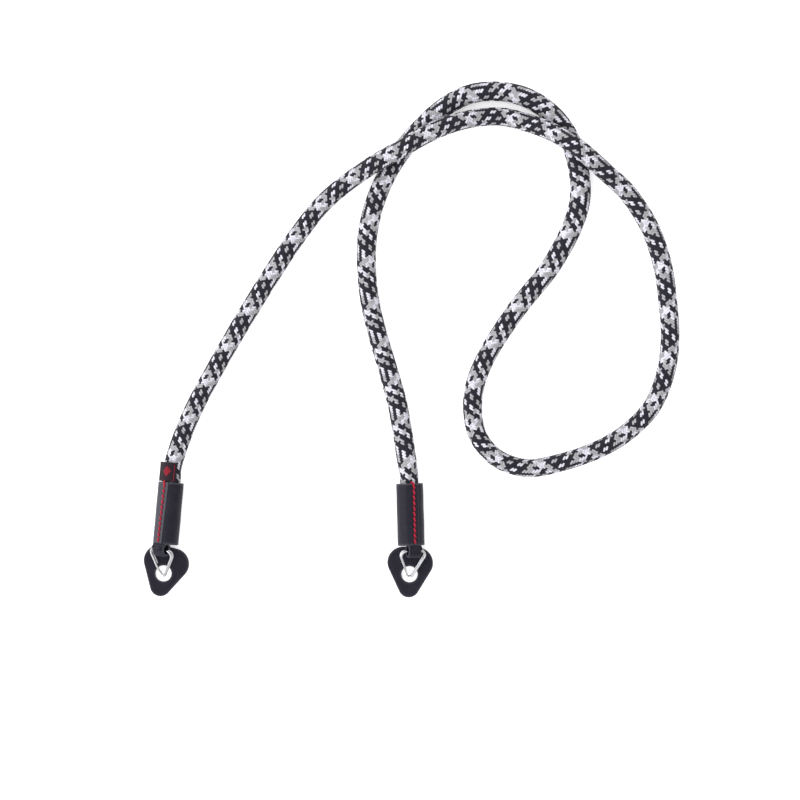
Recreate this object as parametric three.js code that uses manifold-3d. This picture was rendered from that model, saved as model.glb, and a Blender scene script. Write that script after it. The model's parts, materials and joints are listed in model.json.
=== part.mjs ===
// A camera neck strap: one length of braided rope with a lapped leather sleeve on each end, a
// split ring in a leather loop of the sleeve, and a leather shield that lies under the ring.
// Millimetres, +Z up. The strap lies on the plane Z = 0, with +X to the right and +Y up the strap.

import * as THREE from 'three';
import { mergeVertices } from 'three/addons/utils/BufferGeometryUtils.js';
import Module from 'manifold-3d';

const wasm = await Module();
wasm.setup();

// Driving dimensions
const fitGap = 0.3; // clearance between pieces that touch

const ropeDiameter = 9.3;
const ropeInsert = 25; // length of rope inside each sleeve
const ropeLead = 10; // straight rope above a sleeve's mouth
const ropeSides = 12;
const ropeSteps = 80;

const sleeveWall = 1.8;
const sleeveLength = 32;
const sleeveSides = 40;
const lapRise = 0.6; // step at the lap's edge
const lapFade = 120; // degrees round which the lap thins away
const lapMargin = 18; // degrees from the seam's stitch line to the lap's edge
const lapStep = 4; // degrees over which the lap's edge drops

const tabWidth = 6.8;
const tabThickness = 1.4;
const tabPlaces = 5; // places across the tab
const tabReach = 6.4; // how far the loop stands out of the sleeve
const tabSlack = 3.7; // clear height inside the loop
const tabRoot = 3; // length of the outer run inside the sleeve's wall
const tabTail = 6; // length of the return run inside the bore
const tabSink = 0.15; // how far the tab's face lies under the leather's round
const tabBite = 0.5; // how deep the return run sits into the bore's wall

const ringWire = 1.1;
const ringWidth = 13.9;
const ringLength = 16.2;
const ringShoulder = 3.2; // radius of the two wide corners, outside
const ringTip = 2; // radius of the narrow corner, outside
const ringTurnGap = 0.2; // between the two turns of wire
const ringSides = 6;
const ringSteps = 72;
const ringBarOut = 2.6; // from the sleeve's end to the middle of the ring's bar

const shieldLength = 26;
const shieldWidth = 23.6;
const shieldThickness = 2;
const shieldShoulder = 8; // radius of the wide corners
const shieldTip = 5.4; // radius of the narrow end
const shieldHole = 8.3;
const shieldHoleSides = 24;
const shieldHoleDrop = 14; // from the shield's top edge to the hole's centre
const shieldEase = 0.4; // rounding of the leather's edges

const labelLength = 10;
const labelThickness = 1.2;
const labelGrip = 32; // degrees past the top of the rope that the label reaches
const labelTurn = 52; // degrees the other way before it leaves the rope
const labelFlap = 3.6; // free width beyond that

// The two ends. mouth is the middle of the sleeve's open end. lean tips the end's line from +Y
// towards +X, roll turns the seam from the top towards +X, ringShift moves the ring's tip
// sideways and shieldTurn swings the shield's narrow end towards -X. All angles in degrees.
const ends = [
  { side: 'left', mouth: [-61.1, 24.3], lean: 5.1, roll: -35, ringShift: 1.8, shieldTurn: 9 },
  { side: 'right', mouth: [61.5, 23.8], lean: -1.6, roll: 19, ringShift: -2.4, shieldTurn: 5 },
];

// The rope's route between the two leads: x, y and lift. A lift of 0 lies on the surface and a
// lift of 1 is clear over another strand.
const ropeRoute = [
  [-51.2, 58.6, 0.03],
  [-21.1, 112.7, 0.02],
  [15.2, 166.1, 0.07],
  [29.7, 178.7, 0.3],
  [43.8, 188.1, 0.78],
  [56.8, 195.5, 1.01],
  [70.8, 203.5, 1],
  [82.7, 208.7, 0.7],
  [95.2, 212.1, 0.3],
  [109.2, 213.1, 0.12],
  [122.7, 209.7, 0.36],
  [135.7, 204.1, 0.86],
  [148.1, 196.1, 1.03],
  [161.1, 185.1, 0.55],
  [175.4, 171.3, 0.12],
  [191.6, 137.5, 0.04],
  [195.4, 95.5, 0.01],
  [186.4, 63.1, 0.01],
  [163.1, 43.4, 0.01],
  [138.1, 34.3, 0.01],
  [120.9, 32, 0.01],
  [106.3, 37.1, 0.01],
  [96.2, 49.7, 0.01],
  [94.9, 72.7, 0.01],
  [112.2, 107.4, 0.01],
  [137, 139.6, 0.01],
  [149.4, 171.3, 0.01],
  [142.2, 204.4, 0.01],
  [122.2, 222.3, 0.01],
  [94.3, 224.7, 0.01],
  [69.6, 209.3, 0.01],
  [45.8, 175.1, 0.01],
  [40.2, 124.4, 0.01],
  [56.4, 60.4, 0.03],
];

// Sizes that follow
const ropeRadius = ropeDiameter / 2;
const boreRadius = ropeRadius + fitGap;
const sleeveRadius = boreRadius + sleeveWall;
const tabFold = (tabSlack + tabThickness) / 2; // radius of the fold, middle of the leather
const tabOuter = sleeveRadius - tabSink - tabThickness / 2; // outer run, from the axis
const tabReturn = tabOuter - 2 * tabFold;
const ringPitch = ringWire + ringTurnGap;
const ringStack = ringPitch + ringWire; // both turns, across the ring's plane
const ringReach = ringLength - ringWire; // bar to tip, middle of the wire

const leather = { color: 0x26262b, roughness: 0.55, metalness: 0 };
const finishes = {
  rope: { color: 0x85858c, roughness: 0.85, metalness: 0 },
  leather,
  nickel: { color: 0xd8d9dc, roughness: 0.18, metalness: 1 },
  cloth: { color: 0x17151b, roughness: 0.9, metalness: 0 },
};

function named(name, geometry, finish) {
  const mesh = new THREE.Mesh(geometry, new THREE.MeshStandardMaterial(finishes[finish]));
  mesh.name = name;
  return mesh;
}

const radians = THREE.MathUtils.degToRad;

// Direction away from a sleeve's axis, at an angle from the top towards +X.
function outward(degrees) {
  return new THREE.Vector3(Math.sin(radians(degrees)), 0, Math.cos(radians(degrees)));
}

// Corners of a circle's polygon.
function roundCorners(radius, sides, middleY = 0) {
  return [...Array(sides).keys()].map((i) => {
    const angle = (2 * Math.PI * i) / sides;
    return new THREE.Vector2(radius * Math.cos(angle), middleY + radius * Math.sin(angle));
  });
}

// Meshes for joining

function positionsOnly(geometry) {
  const bare = geometry.clone();
  bare.deleteAttribute('normal');
  bare.deleteAttribute('uv');
  return mergeVertices(bare, 1e-4);
}

function toManifold(geometry) {
  const merged = positionsOnly(geometry);
  return new wasm.Manifold(new wasm.Mesh({
    numProp: 3,
    vertProperties: new Float32Array(merged.attributes.position.array),
    triVerts: new Uint32Array(merged.index.array),
  }));
}

function fromManifold(solid) {
  const mesh = solid.getMesh();
  const geometry = new THREE.BufferGeometry();
  geometry.setAttribute('position', new THREE.BufferAttribute(mesh.vertProperties, 3));
  geometry.setIndex(new THREE.BufferAttribute(mesh.triVerts, 1));
  geometry.computeVertexNormals();
  return geometry;
}

// A closed band of leather or cloth. place(i, j, face) gives the point at station i, place j
// across, on the outer face (1) or the inner face (-1).
function bandGeometry(stations, across, place) {
  const positions = [];
  const index = [];
  for (let i = 0; i < stations; i += 1) {
    for (const face of [1, -1]) {
      for (let j = 0; j < across; j += 1) {
        positions.push(...place(i, j, face).toArray());
      }
    }
  }
  const at = (i, j, face) => i * 2 * across + (face > 0 ? 0 : across) + j;
  const quad = (a, b, c, d) => index.push(a, b, c, a, c, d);
  for (let i = 0; i < stations - 1; i += 1) {
    for (let j = 0; j < across - 1; j += 1) {
      quad(at(i, j, 1), at(i, j + 1, 1), at(i + 1, j + 1, 1), at(i + 1, j, 1));
      quad(at(i, j, -1), at(i + 1, j, -1), at(i + 1, j + 1, -1), at(i, j + 1, -1));
    }
    quad(at(i, 0, 1), at(i + 1, 0, 1), at(i + 1, 0, -1), at(i, 0, -1));
    const j = across - 1;
    quad(at(i, j, 1), at(i, j, -1), at(i + 1, j, -1), at(i + 1, j, 1));
  }
  for (const i of [0, stations - 1]) {
    for (let j = 0; j < across - 1; j += 1) {
      const corners = [at(i, j, 1), at(i, j, -1), at(i, j + 1, -1), at(i, j + 1, 1)];
      quad(...(i === 0 ? corners : corners.reverse()));
    }
  }
  const geometry = new THREE.BufferGeometry();
  geometry.setAttribute('position', new THREE.Float32BufferAttribute(positions, 3));
  geometry.setIndex(index);
  geometry.computeVertexNormals();
  return geometry;
}

// Rope

// Points of the rope at one end, from deep in the sleeve to the end of the straight lead.
function ropeEntry(end) {
  const lean = radians(end.lean);
  return [-ropeInsert, 0, ropeLead].map((along) => new THREE.Vector3(
    end.mouth[0] + along * Math.sin(lean),
    end.mouth[1] + along * Math.cos(lean),
    sleeveRadius,
  ));
}

function buildRope() {
  const strandOver = ropeDiameter + fitGap;
  const loose = ropeRoute.map(([x, y, lift]) => (
    new THREE.Vector3(x, y, ropeRadius + lift * strandOver)));
  const [left, right] = ends;
  const points = [...ropeEntry(left), ...loose, ...ropeEntry(right).reverse()];
  const path = new THREE.CatmullRomCurve3(points, false, 'centripetal');
  path.arcLengthDivisions = 1600;
  const section = new THREE.Shape(roundCorners(ropeRadius, ropeSides));
  const options = { steps: ropeSteps, bevelEnabled: false, extrudePath: path };
  return named('rope', new THREE.ExtrudeGeometry(section, options), 'rope');
}

// Sleeve and tab, in the end's own frame: mouth at the origin's height, axis along Y

// Outer radius of the lapped leather at an angle from the top. The lap's edge is past the seam.
function lappedRadius(degrees, seam) {
  const edge = seam + lapMargin;
  const behind = THREE.MathUtils.euclideanModulo(edge - degrees, 360);
  const rise = behind > 360 - lapStep ? (behind - 360 + lapStep) / lapStep : 1 - behind / lapFade;
  return sleeveRadius + lapRise * THREE.MathUtils.clamp(rise, 0, 1);
}

function sleeveTube(seam) {
  const edge = seam + lapMargin;
  const turn = (i) => edge + lapStep + ((360 - lapStep) * i) / sleeveSides;
  const corners = [...Array(sleeveSides + 1).keys()].map((i) => {
    const corner = outward(turn(i)).multiplyScalar(lappedRadius(turn(i), seam));
    return new THREE.Vector2(corner.x, corner.z);
  });
  const outline = new THREE.Shape(corners);
  outline.holes.push(new THREE.Path(roundCorners(boreRadius, sleeveSides)));
  const options = { depth: sleeveLength, bevelEnabled: false };
  return new THREE.ExtrudeGeometry(outline, options).rotateX(Math.PI / 2);
}

// The tab's middle line: along (away from the sleeve's end), out (from its axis) and crown (how
// much of the sleeve's curve the leather keeps there).
function tabLine() {
  const foldAlong = tabReach - tabThickness / 2 - tabFold;
  const seat = boreRadius - tabThickness / 2 + tabBite;
  const foldTurns = [...Array(9).keys()].map((i) => (Math.PI * i) / 8);
  return [
    [-tabRoot, tabOuter, 1],
    [foldAlong / 5, tabOuter, 0.8],
    [foldAlong / 2, tabOuter, 0.35],
    ...foldTurns.map((turn) => [
      foldAlong + tabFold * Math.sin(turn),
      tabOuter - tabFold + tabFold * Math.cos(turn),
      0.15,
    ]),
    [foldAlong / 2, tabReturn + tabThickness / 6, 0.1],
    [-tabTail * 0.05, tabReturn + (seat - tabReturn) * 0.4, 0],
    [-tabTail * 0.3, tabReturn + (seat - tabReturn) * 0.85, 0],
    [-tabTail * 0.5, seat, 0],
    [-tabTail, seat, 0],
  ];
}

function tabBand(seam) {
  const table = tabLine();
  const line = table.map(([along, height]) => new THREE.Vector2(along, height));
  const across = tabPlaces;
  const out = outward(seam);
  const side = outward(seam + 90);
  return bandGeometry(line.length, across, (i, j, face) => {
    const before = line[Math.max(i - 1, 0)];
    const after = line[Math.min(i + 1, line.length - 1)];
    const run = after.clone().sub(before).normalize();
    const offset = (tabWidth * j) / (across - 1) - tabWidth / 2;
    const round = tabOuter - Math.sqrt(tabOuter ** 2 - offset ** 2);
    const lift = (face * tabThickness) / 2 - table[i][2] * round;
    const along = line[i].x - run.y * lift;
    const height = line[i].y + run.x * lift;
    return out.clone().multiplyScalar(height)
      .addScaledVector(side, offset)
      .add(new THREE.Vector3(0, -sleeveLength - along, 0));
  });
}

function buildSleeve(end) {
  const sleeve = toManifold(sleeveTube(end.roll));
  const tab = toManifold(tabBand(end.roll));
  const geometry = fromManifold(sleeve.add(tab));
  geometry.translate(0, 0, sleeveRadius);
  return named(`${end.side}_sleeve`, geometry, 'leather');
}

// Rounded triangle: flat top edge on y = 0, narrow end down.
function threeCornered(outline, width, length, shoulder, tip) {
  const wide = new THREE.Vector2(width / 2 - shoulder, -shoulder);
  const low = new THREE.Vector2(0, tip - length);
  const between = wide.clone().sub(low);
  const square = new THREE.Vector2(between.y, -between.x).normalize();
  const lean = (tip - shoulder) / between.length();
  const normal = between.normalize().multiplyScalar(lean)
    .addScaledVector(square, Math.sqrt(1 - lean ** 2));
  const angle = normal.angle() > Math.PI ? normal.angle() - 2 * Math.PI : normal.angle();
  outline.moveTo(-wide.x, 0);
  outline.lineTo(wide.x, 0);
  outline.absarc(wide.x, wide.y, shoulder, Math.PI / 2, angle, true);
  outline.absarc(low.x, low.y, tip, angle, -Math.PI - angle, true);
  outline.absarc(-wide.x, wide.y, shoulder, -Math.PI - angle, -1.5 * Math.PI, true);
  return outline;
}

// Split ring: the wire goes round twice, and crosses from one turn to the other beside the tip.
class SplitRingPath extends THREE.Curve {
  constructor() {
    super();
    const inset = ringWire / 2;
    this.loop = threeCornered(new THREE.Path(), ringWidth - ringWire, ringReach,
      ringShoulder - inset, ringTip - inset);
    this.loop.closePath();
  }

  getPoint(t) {
    const start = 0.66; // where on the loop the wire starts and ends, as a share of one turn
    const free = 0.1; // share of a turn left open at each end of the wire
    const turn = free + t * (2 - 2 * free);
    const place = this.loop.getPointAt((start + turn) % 1);
    const cross = THREE.MathUtils.smoothstep(turn, 1 - free * 0.7, 1 + free * 0.7);
    return new THREE.Vector3(place.x, place.y, (cross - 0.5) * ringPitch);
  }
}

// Middle of the ring's bar, where it hangs in the tab's loop.
function ringBar(end) {
  const loopTop = tabOuter - tabThickness / 2;
  const out = loopTop - tabSlack / 2;
  return outward(end.roll).multiplyScalar(out)
    .add(new THREE.Vector3(0, -sleeveLength - ringBarOut, sleeveRadius));
}

// Tip of the ring, middle of the wire: just over the shield, ringReach away from the bar.
function ringTipPlace(end) {
  const bar = ringBar(end);
  const height = shieldThickness + fitGap + ringStack / 2;
  const drop = bar.z - height;
  const forward = Math.sqrt(ringReach ** 2 - drop ** 2 - end.ringShift ** 2);
  return new THREE.Vector3(bar.x + end.ringShift, bar.y - forward, height);
}

function buildRing(end) {
  const path = new SplitRingPath();
  path.arcLengthDivisions = 600;
  const section = new THREE.Shape(roundCorners(ringWire / 2, ringSides));
  const options = { steps: ringSteps, bevelEnabled: false, extrudePath: path };
  const geometry = new THREE.ExtrudeGeometry(section, options);
  const bar = ringBar(end);
  const up = bar.clone().sub(ringTipPlace(end)).normalize();
  const level = outward(end.roll + 90);
  const right = level.addScaledVector(up, -level.dot(up)).normalize();
  const ring = named(`${end.side}_ring`, geometry, 'nickel');
  ring.position.copy(bar);
  ring.setRotationFromMatrix(new THREE.Matrix4().makeBasis(right, up, right.clone().cross(up)));
  return ring;
}

function buildShield(end) {
  const outline = threeCornered(new THREE.Shape(), shieldWidth, shieldLength,
    shieldShoulder, shieldTip);
  const hole = roundCorners(shieldHole / 2, shieldHoleSides, -shieldHoleDrop);
  outline.holes.push(new THREE.Path(hole));
  const geometry = new THREE.ExtrudeGeometry(outline, {
    depth: shieldThickness - 2 * shieldEase,
    curveSegments: 8,
    bevelEnabled: true,
    bevelThickness: shieldEase,
    bevelSize: shieldEase,
    bevelOffset: -shieldEase,
    bevelSegments: 2,
  });
  geometry.translate(0, shieldHoleDrop, shieldEase);
  const shield = named(`${end.side}_shield`, geometry, 'leather');
  const tip = ringTipPlace(end);
  const topEdge = -sleeveLength - fitGap;
  const turn = radians(end.shieldTurn);
  const cornerDrop = shieldHoleDrop * Math.cos(turn)
    + (shieldWidth / 2 - shieldShoulder) * Math.abs(Math.sin(turn));
  shield.position.set(tip.x, Math.min(tip.y + ringWire, topEdge - cornerDrop), 0);
  shield.rotation.z = -turn;
  return shield;
}

// Folded tag on the rope, just above the left sleeve's mouth.
function buildLabel(end) {
  const radius = ropeRadius + fitGap + labelThickness / 2;
  const arcStations = 10;
  const place = (i, j, face) => {
    const share = Math.min(i / arcStations, 1);
    const turn = labelGrip - (labelGrip + labelTurn) * share;
    const out = outward(turn);
    const flap = i > arcStations ? labelFlap : 0;
    return out.clone().multiplyScalar(radius + (face * labelThickness) / 2)
      .addScaledVector(outward(turn - 90), flap)
      .add(new THREE.Vector3(0, fitGap + labelLength * j, sleeveRadius));
  };
  return named('label', bandGeometry(arcStations + 2, 2, place), 'cloth');
}

function buildEnd(end) {
  const group = new THREE.Group();
  group.position.set(end.mouth[0], end.mouth[1], 0);
  group.rotation.z = -radians(end.lean);
  group.add(buildSleeve(end), buildRing(end), buildShield(end));
  if (end.side === 'left') {
    group.add(buildLabel(end));
  }
  return group;
}

// The origin lies on the surface, in the middle of the box round the two leather ends.
const strap = new THREE.Group();
const leatherEnds = new THREE.Group();
leatherEnds.add(...ends.map(buildEnd));
leatherEnds.updateMatrixWorld(true);
const middle = new THREE.Box3().setFromObject(leatherEnds, true).getCenter(new THREE.Vector3());
strap.add(leatherEnds, buildRope());
strap.position.set(-middle.x, -middle.y, 0);

export default strap;
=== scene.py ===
import json
from math import atan2, cos, pi, radians, sin, sqrt

import bpy
import numpy as np
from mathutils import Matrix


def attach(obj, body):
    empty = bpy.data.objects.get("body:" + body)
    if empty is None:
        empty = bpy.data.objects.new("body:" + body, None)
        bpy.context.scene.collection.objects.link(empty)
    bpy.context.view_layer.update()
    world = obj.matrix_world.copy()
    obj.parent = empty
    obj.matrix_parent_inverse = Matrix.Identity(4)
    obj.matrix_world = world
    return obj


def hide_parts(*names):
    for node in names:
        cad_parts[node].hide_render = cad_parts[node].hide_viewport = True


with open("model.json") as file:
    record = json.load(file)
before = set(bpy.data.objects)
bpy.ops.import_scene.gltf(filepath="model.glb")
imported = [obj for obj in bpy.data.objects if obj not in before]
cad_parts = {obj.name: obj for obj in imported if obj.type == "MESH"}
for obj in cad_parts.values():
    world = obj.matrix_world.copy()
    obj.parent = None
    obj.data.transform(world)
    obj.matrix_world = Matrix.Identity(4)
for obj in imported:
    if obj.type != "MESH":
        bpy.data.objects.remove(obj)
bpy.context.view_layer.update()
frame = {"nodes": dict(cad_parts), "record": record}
print("frame loaded:", ", ".join(sorted(frame["nodes"])))

# All lengths are in metres and all angles in degrees.

view = {
    "middle": (0.0576, 0.0667),  # point of the surface under the camera
    "height": 2.5,
    "width": 0.4130,  # surface that the picture's width takes in
    "sensor": 36.0,
    "far": 20,
}


def addObject(name, data, place=(0, 0, 0)):
    added = bpy.data.objects.new(name, data)
    added.location = place
    bpy.context.scene.collection.objects.link(added)
    return added


def makeCamera():
    camera = bpy.data.cameras.new("camera")
    camera.sensor_width = view["sensor"]
    camera.lens = view["sensor"] * view["height"] / view["width"]
    camera.clip_end = view["far"]
    bpy.context.scene.camera = addObject("camera", camera, (*view["middle"], view["height"]))


makeCamera()
print("camera placed")


# Shader maths


class Wire:  # what comes out of a node, and can be reckoned with like a number
    def __init__(self, board, socket):
        self.board = board
        self.socket = socket

    def reckon(self, operation, *values):
        return self.board.node("ShaderNodeMath", {"operation": operation}, dict(enumerate(values)))

    def __add__(self, other):
        return self.reckon("ADD", self, other)

    def __sub__(self, other):
        return self.reckon("SUBTRACT", self, other)

    def __rsub__(self, other):
        return self.reckon("SUBTRACT", other, self)

    def __mul__(self, other):
        return self.reckon("MULTIPLY", self, other)

    def __pow__(self, other):
        return self.reckon("POWER", self, other)

    __radd__ = __add__
    __rmul__ = __mul__

    def wave(self):  # 0 to 1 and back for each whole number
        return self.reckon("SINE", self * (2 * pi)) * 0.5 + 0.5

    def size(self):
        return self.reckon("ABSOLUTE", self)

    def within(self, low, high):  # 0 at low, 1 at high
        return self.board.node("ShaderNodeMapRange", {}, {0: self, 1: low, 2: high})


class Board:  # adds nodes to one tree
    def __init__(self, tree):
        self.nodes = tree.nodes
        self.links = tree.links

    def node(self, kind, settings=None, sockets=None, output=0):
        made = self.nodes.new(kind)
        for name, value in (settings or {}).items():
            if name == "stops":
                self.setStops(made.color_ramp.elements, value)
            else:
                setattr(made, name, value)
        for socket, value in (sockets or {}).items():
            if isinstance(value, Wire):
                self.links.new(value.socket, made.inputs[socket])
            else:
                made.inputs[socket].default_value = value
        return Wire(self, made.outputs[output])

    def setStops(self, stops, wanted):
        while len(stops) < len(wanted):
            stops.new(1.0)
        for stop, (position, bright) in zip(stops, wanted):
            stop.position = position
            stop.color = (bright, bright, bright, 1)


class Finish(Board):  # one material, whose shader takes fixed values and wires by socket name
    def __init__(self, name, **fixed):
        self.material = bpy.data.materials.new(name)
        self.material.use_nodes = True
        super().__init__(self.material.node_tree)
        self.shader = self.nodes["Principled BSDF"]
        for words, value in fixed.items():
            self.shader.inputs[words.replace("_", " ")].default_value = value

    def mix(self, share, first, second):
        settings = {"data_type": "RGBA", "clamp_factor": True}
        return self.node("ShaderNodeMix", settings, {0: share, 6: first, 7: second}, 2)

    def mark(self, name):  # a number kept on the mesh
        return self.node("ShaderNodeAttribute", {"attribute_name": name}, {}, "Fac")

    def place(self):
        return self.node("ShaderNodeTexCoord", {}, {}, "Object")

    def noise(self, grain, detail=2.0):  # grain is the size of one blotch
        sockets = {"Vector": self.place(), "Scale": 1 / grain, "Detail": detail}
        return self.node("ShaderNodeTexNoise", {}, sockets)

    def creases(self, grain):  # distance to the nearest crease between cells of that size
        sockets = {"Vector": self.place(), "Scale": 1 / grain}
        settings = {"feature": "DISTANCE_TO_EDGE"}
        return self.node("ShaderNodeTexVoronoi", settings, sockets, "Distance")

    def feed(self, socket, wire):
        self.links.new(wire.socket, self.shader.inputs[socket])

    def bump(self, height, depth, strength=1.0):
        sockets = {"Height": height, "Distance": depth, "Strength": strength}
        self.feed("Normal", self.node("ShaderNodeBump", {}, sockets))


def tinted(colour, share=1.0):
    return tuple(share * part for part in colour) + (1.0,)


# Meshes


def unit(vectors):
    return vectors / np.linalg.norm(vectors, axis=-1, keepdims=True)


def ringFaces(count, places, loop, joined):
    i = np.arange(count if joined else count - 1)[:, None]
    j = np.arange(places if loop else places - 1)[None, :]
    after, beside = (i + 1) % count * places, (j + 1) % places
    corners = (i * places + j, i * places + beside, after + beside, after + j)
    return np.stack(np.broadcast_arrays(*corners), -1).reshape(-1, 4)


def pointsOut(points, faces):
    a, b, c, d = (points[faces[:, k]] for k in range(4))
    inside = np.einsum("ij,ij->i", a, np.cross(b, c)) + np.einsum("ij,ij->i", a, np.cross(c, d))
    return inside.sum() > 0


def meshPiece(name, skins, finish, replaced=()):
    # A skin is a dictionary of rings of points, loop and ends, which say how it closes, flip,
    # which turns its faces round, and marks, which are numbers for the finish.
    points, faces, marks, start = [], [], {}, 0
    for skin in skins:
        rings = np.asarray(skin["rings"], float)
        count, places = rings.shape[:2]
        flat = rings.reshape(-1, 3)
        closing = skin.get("ends", "capped")
        quads = ringFaces(count, places, skin.get("loop", True), closing == "joined")
        turned = skin.get("flip", not pointsOut(flat - flat.mean(0), quads))
        if turned:
            quads = quads[:, ::-1]
        faces += (quads + start).tolist()
        if closing == "capped":
            for cap in (np.arange(places)[::-1], np.arange(places) + (count - 1) * places):
                faces.append(((cap[::-1] if turned else cap) + start).tolist())
        for mark, values in skin.get("marks", {}).items():
            marks.setdefault(mark, []).append(np.broadcast_to(values, (count, places)).reshape(-1))
        points.append(flat)
        start += len(flat)
    mesh = bpy.data.meshes.new(name)
    mesh.from_pydata(np.concatenate(points).tolist(), [], faces)
    for mark, values in marks.items():
        layer = mesh.attributes.new(mark, "FLOAT", "POINT")
        layer.data.foreach_set("value", np.concatenate(values).astype(np.float32))
    mesh.shade_smooth()
    mesh.materials.append(finish.material)
    piece = addObject(name, mesh)
    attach(piece, "root")
    if replaced:
        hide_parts(*replaced)
    return piece


def smoothRoute(points, steps):
    # Centripetal Catmull-Rom curve through the points.
    points = np.asarray(points, float)
    points = np.vstack([2 * points[0] - points[1], points, 2 * points[-1] - points[-2]])
    share = np.arange(steps)[:, None] / steps
    route = []
    for a, b, c, d in zip(points, points[1:], points[2:], points[3:]):
        before, span, after = (np.linalg.norm(q - p) ** 0.5 for p, q in ((a, b), (b, c), (c, d)))
        leave = ((b - a) / before - (c - a) / (before + span) + (c - b) / span) * span
        arrive = ((c - b) / span - (d - b) / (span + after) + (d - c) / after) * span
        cubic = 2 * b - 2 * c + leave + arrive
        square = 3 * c - 3 * b - 2 * leave - arrive
        route.append(b + leave * share + square * share**2 + cubic * share**3)
    route.append(points[-2:-1])
    return np.vstack(route)


def travelled(path):
    return np.concatenate([[0.0], np.cumsum(np.linalg.norm(np.diff(path, axis=0), axis=1))])


def along(path, lengths, where):
    return np.stack([np.interp(where, lengths, path[:, k]) for k in range(path.shape[1])], -1)


def carriedFrames(path):
    # Directions square to the path, carried along it without a twist.
    oddDirection = (0.13, 0.21, 1.0)  # no path starts along it
    tangents = unit(np.gradient(path, axis=0))
    first = np.cross(tangents[0], oddDirection)
    sides = [unit(first)]
    for tangent in tangents[1:]:
        sides.append(unit(sides[-1] - tangent * sides[-1].dot(tangent)))
    return tangents, np.array(sides), np.cross(sides, tangents)


def roundTube(path, radius, sides, nose=4):
    # Rings of a round wire or thread with domed ends.
    tangents, rights, ups = carriedFrames(path)
    angles = np.arange(sides)[:, None] * 2 * pi / sides

    def ring(k, shift, size):
        circle = np.cos(angles) * rights[k] + np.sin(angles) * ups[k]
        return path[k] + tangents[k] * shift + circle * size

    turns = [(k + 0.25) / nose * pi / 2 for k in range(nose)]  # the first is just off the pole
    head = [ring(0, -radius * cos(turn), radius * sin(turn)) for turn in turns]
    tail = [ring(-1, radius * cos(turn), radius * sin(turn)) for turn in reversed(turns)]
    return np.array(head + [ring(k, 0, radius) for k in range(len(path))] + tail)


# The two leather ends: mouth is the middle of the sleeve's open end. lean tips the end from +Y
# towards +X. roll turns the ring's loop from the top towards +X, and seam turns the stitches so
# at the mouth and at the ring. snug draws the sleeve in, and a painted highlight lightens the
# leather beside the lap's edge, where the flattened strip faces the light. ringShift moves the
# ring's tip towards +X, and turn swings the shield.

ends = {
    "left": {
        "mouth": (-0.0601013, 0.0242831), "lean": 5.1, "roll": -35, "seam": (-29, -37),
        "snug": 0.0003, "paintedHighlight": 0.8, "ringShift": 0.0018, "turn": 9,
    },
    "right": {
        "mouth": (0.0624987, 0.0237831), "lean": -1.6, "roll": 19, "seam": (18.5, 16.5),
        "snug": -0.0002, "paintedHighlight": 0.0, "ringShift": -0.0024, "turn": 5,
    },
}


def outward(angle):  # away from a sleeve's axis, from the top towards +X
    angle = np.radians(angle)
    return np.stack([np.sin(angle), 0 * angle, np.cos(angle)], -1)


def toWorld(end, points):  # from an end's own frame: mouth at y = 0, sleeve towards -y
    lean = radians(end["lean"])
    x, y, z = np.moveaxis(np.asarray(points, float), -1, 0)
    east = x * cos(lean) + y * sin(lean) + end["mouth"][0]
    north = y * cos(lean) - x * sin(lean) + end["mouth"][1]
    return np.stack([east, north, z], -1)


# Rope

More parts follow.
